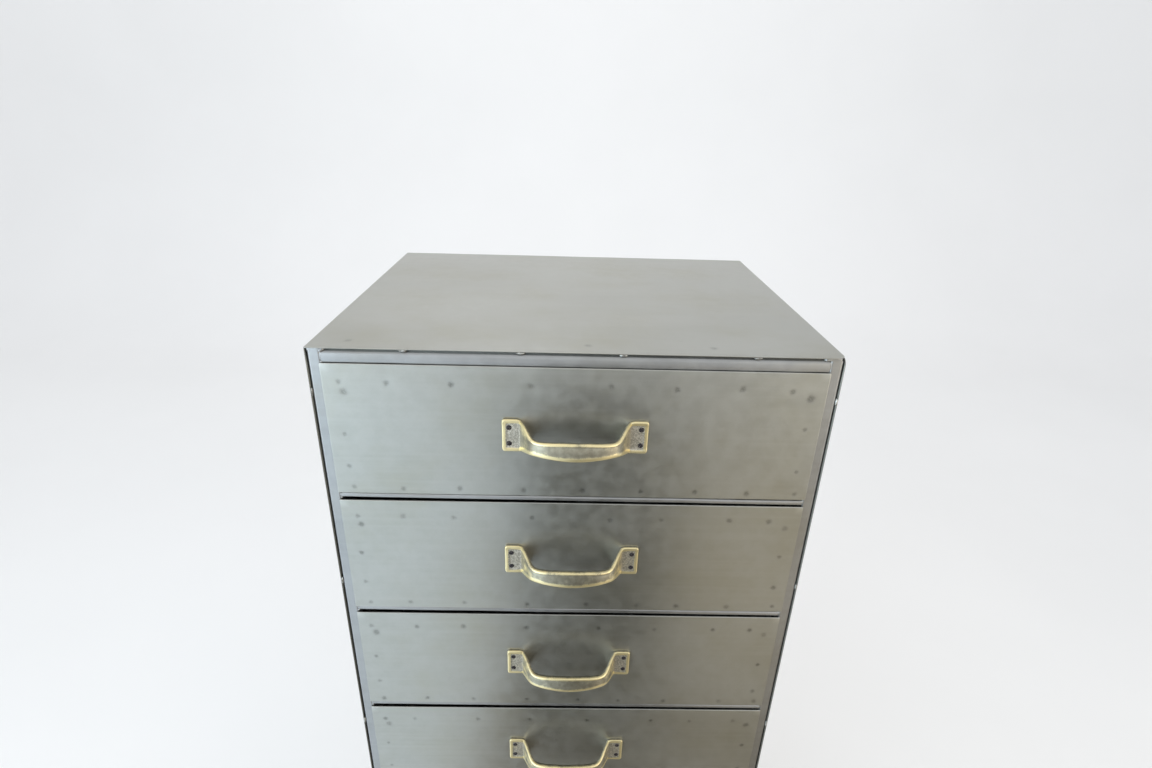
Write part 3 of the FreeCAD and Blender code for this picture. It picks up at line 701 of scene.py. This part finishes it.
def strap_section(breadth, thickness, swell, upper, lower, recess, in_plate):
    """Points across the strap, as (up, out, closeness to an edge), once round.

    upper and lower are the roundings of its edges; recess is how deep its face is sunk inside the rim.
    The swollen face leans back a little, so its lower edge stands furthest out.
    """
    half = breadth / 2
    upper_rim = GRIP_UPPER_RIM + (RIM - GRIP_UPPER_RIM) * in_plate
    lower_rim = GRIP_LOWER_RIM + (RIM - GRIP_LOWER_RIM) * in_plate

    def crown_at(up):
        return swell * (1 - (up / half) ** 2 - LEAN * up / half)

    def face(up):
        from_edge = half - abs(up)
        rim = upper_rim if up > 0 else lower_rim
        crown = crown_at(up)
        sunk = max(recess, GROOVE) * rim_fade(SINK_FADE, rim, from_edge)
        return up, thickness / 2 + crown - sunk, 1 - rim_fade(WEAR_FADE, rim, from_edge)

    def edge(side, rounding, degrees):
        angle = math.radians(degrees)
        up = side * (half - rounding * (1 - math.cos(angle)))
        crown = crown_at(side * (half - rounding)) * math.sin(angle)
        return up, thickness / 2 + crown - rounding * (1 - math.sin(angle)), 1.0

    shares = (0.0, 0.25, 0.5, 0.75, 1.0)
    first = [lower - half + (1.5 * lower_rim - lower) * share for share in shares]
    last = [half - upper - (1.5 * upper_rim - upper) * share for share in reversed(shares)]
    between = [first[-1] + (last[0] - first[-1]) * k / 8 for k in range(1, 8)]
    section = [face(up) for up in first + between + last]
    section += [edge(1, upper, degrees) for degrees in (67.5, 45, 22.5, 0)]
    section += [(share * (half - 0.5), -thickness / 2, 0.0) for share in (1.0, 0.5, 0.0, -0.5, -1.0)]
    section += [edge(-1, lower, degrees) for degrees in (0, 22.5, 45, 67.5)]
    return section


def bow_handle(number):
    """A cast handle: one strap whose ends are sunk plates, with a rim that is worn bright."""
    low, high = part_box(f"drawer_{number}_handle")
    origin = Vector(((low.x + high.x) / 2, high.y, (low.z + high.z) / 2))
    stations = strap_stations()
    bm = bmesh.new()
    worn_layer = bm.verts.layers.float.new("worn")
    bare_layer = bm.verts.layers.float.new("bare")
    rings = []
    for index, (x, out, breadth, thickness, swell, upper, lower, hang) in enumerate(stations):
        before = stations[max(0, index - 1)]
        after = stations[min(len(stations) - 1, index + 1)]
        along = Vector((after[0] - before[0], after[1] - before[1])).normalized()
        normal = Vector((-along.y, along.x))
        from_end = STRAP[0][0] - abs(x)
        rounding = quarter_drop(PLATE_CORNER, from_end)
        in_plate = smoothstep(*RECESS_FADES, abs(x))
        in_arm = smoothstep(*ARM_FADES, abs(x)) * (1 - in_plate)
        recess = RECESS * in_plate * rim_fade(SINK_FADE, RIM, from_end)
        end_rim = 1 - rim_fade(END_WEAR_FADE, RIM, from_end)
        ring = []
        shape = strap_section(breadth - 2 * rounding, thickness, swell, upper, lower, recess, in_plate)
        for up, forward, edge in shape:
            if forward > 0:
                forward -= quarter_drop(END_ROUNDING, from_end)
            at = Vector((x, out)) + normal * forward
            vert = bm.verts.new(origin + (ACROSS * at.x + FRONTWARD * at.y + UP * (up - hang)) * MM)
            patch = noise.noise(Vector((x * 0.09, up * 0.12, number * 7.7)))
            rubbed = max(edge, end_rim) * (0.85 + 0.3 * patch) * (0.8 if up > 0 and not in_plate else 1.0)
            rubbed = max(rubbed, 0.15 + 0.3 * in_arm + 0.35 * patch) if forward > 0 else 0.0
            vert[worn_layer] = max(0.0, min(1.0, rubbed))
            vert[bare_layer] = in_plate
            ring.append(vert)
        rings.append(ring)
    cover_tube(bm, rings)
    replaced = [f"drawer_{number}_handle"]
    new_piece(f"bow_handle_{number}", bm, BRASS, f"drawer_{number}", replaced)


def quarter_drop(radius, along):
    """How far a quarter circle has fallen away at a distance before its end."""
    return radius - math.sqrt(max(0.0, radius**2 - max(0.0, radius - along) ** 2))


# ---------------------------------------------------------------- screws and nuts

SCREW_INSET = 7.0 * MM
SCREW_SPACING = 17.2 * MM
HEAD_RADIUS = 2.7 * MM
HEAD_HEIGHT = 1.2 * MM
HEAD_SEAT = 2.15 * MM
HEAD_AROUND = 48
DOME_RINGS = 14
SLOT_DEPTH = 0.8 * MM
SLOT_HALF_WIDTH = 0.42 * MM
SLOT_REACH = 2.1 * MM
SHANK_RADIUS = 1.7 * MM
NUT_FLATS = 6.0 * MM
NUT_HEIGHT = 2.8 * MM
NUT_CHAMFER = 0.4 * MM
NUT_SEAT = 4.0 * MM
NUT_BORE = 1.02 * SHANK_RADIUS
NUT_RADIUS = NUT_FLATS / math.sqrt(3)
NUT_FACE = 0.86 * NUT_RADIUS


def revolve(bm, profile, centre, axis, segments, shape=None):
    """Turn (radius, along) points about axis through centre; shape(radius, angle) adds to along."""
    first = ACROSS
    second = axis.cross(first)
    rows = []
    for radius, along in profile:
        row = []
        for k in range(segments if radius > 0 else 1):
            angle = 2 * math.pi * k / segments
            extra = shape(radius, angle) if shape else 0.0
            way = first * math.cos(angle) + second * math.sin(angle)
            row.append(bm.verts.new(centre + way * radius + axis * (along + extra)))
        rows.append(row)
    cover_rows(bm, rows, segments)


def screws(number):
    """Four domed cross-slot screws with their nuts inside the tray."""
    low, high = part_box(f"drawer_{number}_fasteners")
    handle_low, handle_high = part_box(f"drawer_{number}_handle")
    middle_z = (handle_low.z + handle_high.z) / 2
    column = (handle_high.x - handle_low.x) / 2 - SCREW_INSET
    seat = handle_high.y - HEAD_SEAT
    chance = random.Random(90 + number)
    bm = bmesh.new()
    for sx in (-1, 1):
        for sz in (-1, 1):
            turned = chance.uniform(0, math.pi / 2)
            centre = Vector((sx * column, seat, middle_z + sz * SCREW_SPACING / 2))

            def slot(radius, angle, turned=turned):
                across = radius * abs(math.sin(angle - turned))
                upward = radius * abs(math.cos(angle - turned))
                inside = min(across, upward) < SLOT_HALF_WIDTH and radius < SLOT_REACH
                return -SLOT_DEPTH if inside else 0.0

            tilts = [math.pi / 2 * k / DOME_RINGS for k in range(1, DOME_RINGS)]
            dome = [(HEAD_RADIUS * math.sin(a), HEAD_HEIGHT * math.cos(a)) for a in tilts]
            head = [(0.0, HEAD_HEIGHT - SLOT_DEPTH)] + dome + [(HEAD_RADIUS, 0.0), (SHANK_RADIUS, 0.0)]
            length = high.y - seat
            head += [(SHANK_RADIUS, -length), (0.0, -length)]
            revolve(bm, head, centre, FRONTWARD, HEAD_AROUND, slot)
            nut_y = seat + length - NUT_SEAT
            nut = [(NUT_BORE, 0.0), (NUT_FACE, 0.0), (NUT_RADIUS, -NUT_CHAMFER)]
            nut += [(NUT_RADIUS, NUT_CHAMFER - NUT_HEIGHT), (NUT_FACE, -NUT_HEIGHT), (NUT_BORE, -NUT_HEIGHT)]
            revolve(bm, nut + nut[:1], Vector((centre.x, nut_y, centre.z)), FRONTWARD, 6)
    replaced = [f"drawer_{number}_fasteners"]
    new_piece(f"handle_screws_{number}", bm, SCREW, f"drawer_{number}", replaced)


# ---------------------------------------------------------------- welds

BEAD_REACH = 14 * MM
BEAD_SWELL = 0.5 * MM
LAST_BEAD_LONGER = 4 * MM
SEAM_DEPTH = 9 * MM
SEAM_ROUNDING = 0.5 * MM
SEAM_OVERLAP = 1.2 * MM
SEAM_INSET = 4.6 * MM
SEAM_WEAR = 0.35 * MM
SEAM_STEPS = 12


def clusters(node, reach):
    """Centres and sizes of the separate lumps in a CAD node; reach is the most that one extends."""
    groups = []
    for vert in frame["nodes"][node].data.vertices:
        for group in groups:
            if (vert.co - group[0]).length < reach:
                group.append(vert.co.copy())
                break
        else:
            groups.append([vert.co.copy()])
    found = []
    for group in groups:
        low = Vector([min(p[a] for p in group) for a in range(3)])
        high = Vector([max(p[a] for p in group) for a in range(3)])
        found.append(((low + high) / 2, high - low))
    return found


def tack_welds():
    """Beads that bridge the gaps round the sheets. The last one along the top is drawn out."""
    bm = bmesh.new()
    axes = (ACROSS, BACKWARD, UP)
    beads = clusters("weld_beads", BEAD_REACH)
    along_top = [centre for centre, _ in beads if centre.z > TOP_LOW.z - 4 * MM and centre.y < 0]
    last = max(along_top, key=lambda centre: centre.x)
    for index, (centre, size) in enumerate(beads):
        swollen = [side + BEAD_SWELL for side in size]
        if centre == last:
            swollen[0] += LAST_BEAD_LONGER
        lump(bm, centre, axes, swollen, 1.7 * index + 0.4)
    new_piece("tack_welds", bm, WELD, "cabinet", ["weld_beads"])


def corner_seams():
    """Ground weld seams that close the gap under the top sheet at its two front corners."""
    post_low, post_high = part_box("post_front_left")
    gap = TOP_LOW.z - post_high.z
    height = gap + SEAM_OVERLAP
    section = rounded_section(SEAM_DEPTH, height, (SEAM_ROUNDING, SEAM_ROUNDING), SEAM_ROUNDING)
    bm = bmesh.new()
    left_seam = (TOP_LOW.x + 1.5 * MM, post_high.x + 4 * MM)
    right_seam = (TOP_HIGH.x - 21 * MM, TOP_HIGH.x - 3 * MM)
    for start, end in (left_seam, right_seam):
        rings = []
        for step in range(SEAM_STEPS + 1):
            share = step / SEAM_STEPS
            worn = SEAM_WEAR * noise.noise(Vector((share * 3, start * 9, 2.0)))
            x = start + (end - start) * share
            at = Vector((x, post_low.y + SEAM_INSET + worn, post_high.z + gap / 2))
            taper = 0.35 if step in (0, SEAM_STEPS) else 1.0
            rings.append([bm.verts.new(at + (BACKWARD * back + UP * up) * taper) for back, up in section])
        cover_tube(bm, rings)
    new_piece("corner_seams", bm, FRAME, "cabinet")


def joint_welds():
    """Fillets at the ends of the front rails, with short beads left on the left ends."""
    bm = bmesh.new()
    axes = (ACROSS, BACKWARD, UP)
    rails = ["top_rail_front", "bottom_rail_front"] + [f"divider_rail_{n}" for n in DRAWERS[:-1]]
    chance = random.Random(7)
    for index, node in enumerate(rails):
        low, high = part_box(node)
        height = high.z - low.z
        for x, side in ((low.x, 1), (high.x, -1)):
            at = Vector((x - side * 0.6 * MM, low.y + 1.5 * MM, (low.z + high.z) / 2))
            lump(bm, at, axes, (3.6 * MM, 2.8 * MM, 0.9 * height), index * 1.9 + side)
        for end in (low.z, high.z):
            at = Vector((low.x, low.y + 0.9 * MM, end + math.copysign(0.5 * MM, low.z - end)))
            size = (chance.uniform(2.4, 4.0) * MM, 2.6 * MM, chance.uniform(0.25, 0.45) * height)
            lump(bm, at, axes, size, index * 3.1 + end)
    new_piece("joint_welds", bm, FRAME, "cabinet")


# ---------------------------------------------------------------- materials on the CAD nodes


def dress_cad_nodes():
    """Give every CAD node the material of its slot."""
    finishes = {
        "frame_steel": FRAME,
        "skin_steel": SKIN,
        "inner_steel": INNER,
        "weld_metal": WELD,
        "antique_brass": BRASS,
        "dark_screws": SCREW,
        "black_plastic": PLASTIC,
    }
    slots = {row["node"]: row["material_slot"] for row in frame["record"]["subparts"]}
    for name, node in frame["nodes"].items():
        node.data.materials.clear()
        node.data.materials.append(finishes[slots[name]])


# ---------------------------------------------------------------- studio


def area_light(name, at, towards, size, power, colour):
    """A soft rectangular lamp that points from one place towards another."""
    light = bpy.data.lights.new(name, "AREA")
    light.shape = "RECTANGLE"
    light.size, light.size_y = size
    light.energy = power
    light.color = colour
    lamp = bpy.data.objects.new(name, light)
    lamp.location = at
    lamp.rotation_euler = (Vector(towards) - Vector(at)).to_track_quat("-Z", "Y").to_euler()
    bpy.context.scene.collection.objects.link(lamp)


def staged(name, bm, material):
    """Turn a bmesh into a surface that belongs to the studio, not to the cabinet."""
    mesh = bpy.data.meshes.new(name)
    bm.to_mesh(mesh)
    bm.free()
    mesh.polygons.foreach_set("use_smooth", [True] * len(mesh.polygons))
    mesh.materials.append(material)
    made = bpy.data.objects.new(name, mesh)
    bpy.context.scene.collection.objects.link(made)
    return made


def paper_sweep():
    """A pale floor that curves up into a wall behind the cabinet."""
    reach, bend, radius, top, half = -30.0, 2.8, 1.6, 12.0, 30.0
    turns = [math.pi / 2 * k / 24 for k in range(25)]
    profile = [(reach, 0.0)] + [(bend + radius * math.sin(a), radius * (1 - math.cos(a))) for a in turns]
    profile.append((bend + radius, top))
    bm = bmesh.new()
    rows = [[bm.verts.new((side * half, y, z)) for side in (-1, 1)] for y, z in profile]
    for near, far in zip(rows, rows[1:]):
        bm.faces.new((near[0], near[1], far[1], far[0]))
    staged("paper_sweep", bm, pale_paper())


def shade(name, size, at, normal, material):
    """A cloth that only the metal sees: it darkens reflections, and casts no shadow."""
    bm = bmesh.new()
    turn = Vector(normal).to_track_quat("Z", "Y")
    half_x, half_y = size[0] / 2, size[1] / 2
    for x, y in ((-half_x, -half_y), (half_x, -half_y), (half_x, half_y), (-half_x, half_y)):
        bm.verts.new(Vector(at) + turn @ Vector((x, y, 0)))
    bm.faces.new(bm.verts)
    made = staged(name, bm, material)
    made.visible_camera = False
    made.visible_shadow = False
    made.visible_diffuse = False


def studio():
    """Cool light from the left, warm light from the right, and cloths that tint the reflections."""
    scene = bpy.context.scene
    scene.view_settings.view_transform = "Standard"
    world = bpy.data.worlds.new("soft_room")
    scene.world = world
    world.use_nodes = True
    background = world.node_tree.nodes["Background"]
    background.inputs["Color"].default_value = (0.955, 0.975, 1.0, 1)
    background.inputs["Strength"].default_value = 0.9
    paper_sweep()
    aim = (0, 0, 0.9)
    area_light("left_light", (-2.2, -2.3, 1.2), aim, (2.1, 2.6), 48, (0.70, 0.87, 1.0))
    area_light("right_light", (1.6, -1.5, 1.2), aim, (0.9, 1.4), 9, (1.0, 0.85, 0.62))
    area_light("wall_wash", (0.0, 1.6, 3.4), (0, 4.4, 1.6), (4.0, 0.8), 17, (1.0, 0.99, 0.98))
    area_light("ceiling", (-0.5, 0.6, 2.9), (0, 0, 1.2), (2.2, 1.6), 10, (1.0, 0.99, 0.97))
    dark_cloth = shade_cloth("dark_cloth", (0.07, 0.063, 0.043))
    warm_cloth = shade_cloth("warm_cloth", (0.46, 0.40, 0.31))
    brown_cloth = shade_cloth("brown_cloth", (0.25, 0.215, 0.165))
    cool_cloth = shade_cloth("cool_cloth", (0.80, 0.87, 0.93))
    shade("dark_shade", (0.30, 1.05), (0.05, -0.62, 0.55), (0, 1, 0), dark_cloth)
    shade("warm_shade", (2.0, 2.0), (0.80, -1.95, 0.03), (0, 0, 1), warm_cloth)
    shade("brown_shade", (2.0, 0.7), (0.80, -0.6, 0.03), (0, 0, 1), brown_cloth)
    shade("cool_shade", (2.0, 2.7), (-1.25, -1.6, 0.03), (0, 0, 1), cool_cloth)


# The camera looks down on the top and the upper drawers. Its place is in cabinet widths from the
# top sheet's front left corner.
CAMERA_OFFSET = Vector((0.4764, -1.0637, 0.4131))
CAMERA_LENS = 19.43
PITCH_DOWN = 24.08
YAW_RIGHT = 1.21
ROLL = 1.66


def camera():
    data = bpy.data.cameras.new("camera")
    data.sensor_width = 36
    data.lens = CAMERA_LENS
    made = bpy.data.objects.new("camera", data)
    corner = Vector((TOP_LOW.x, TOP_LOW.y, TOP_HIGH.z))
    made.location = corner + CAMERA_OFFSET * WIDTH
    pitch = Euler((math.radians(90 - PITCH_DOWN), 0, math.radians(-YAW_RIGHT))).to_matrix()
    roll = Euler((0, 0, math.radians(ROLL))).to_matrix()
    made.rotation_euler = (pitch @ roll).to_euler()
    bpy.context.scene.collection.objects.link(made)
    bpy.context.scene.camera = made


dress_cad_nodes()
top_sheet()
wall_sheet("left_sheet", "left_side_panel", Vector((-1, 0, 0)), 21.0)
wall_sheet("right_sheet", "right_side_panel", Vector((1, 0, 0)), 33.0, 8 * MM)
wall_sheet("back_sheet", "back_panel", Vector((0, 1, 0)), 47.0)
for drawer in DRAWERS:
    drawer_front(drawer)
    bow_handle(drawer)
    screws(drawer)
front_rails()
tack_welds()
corner_seams()
joint_welds()
studio()
camera()
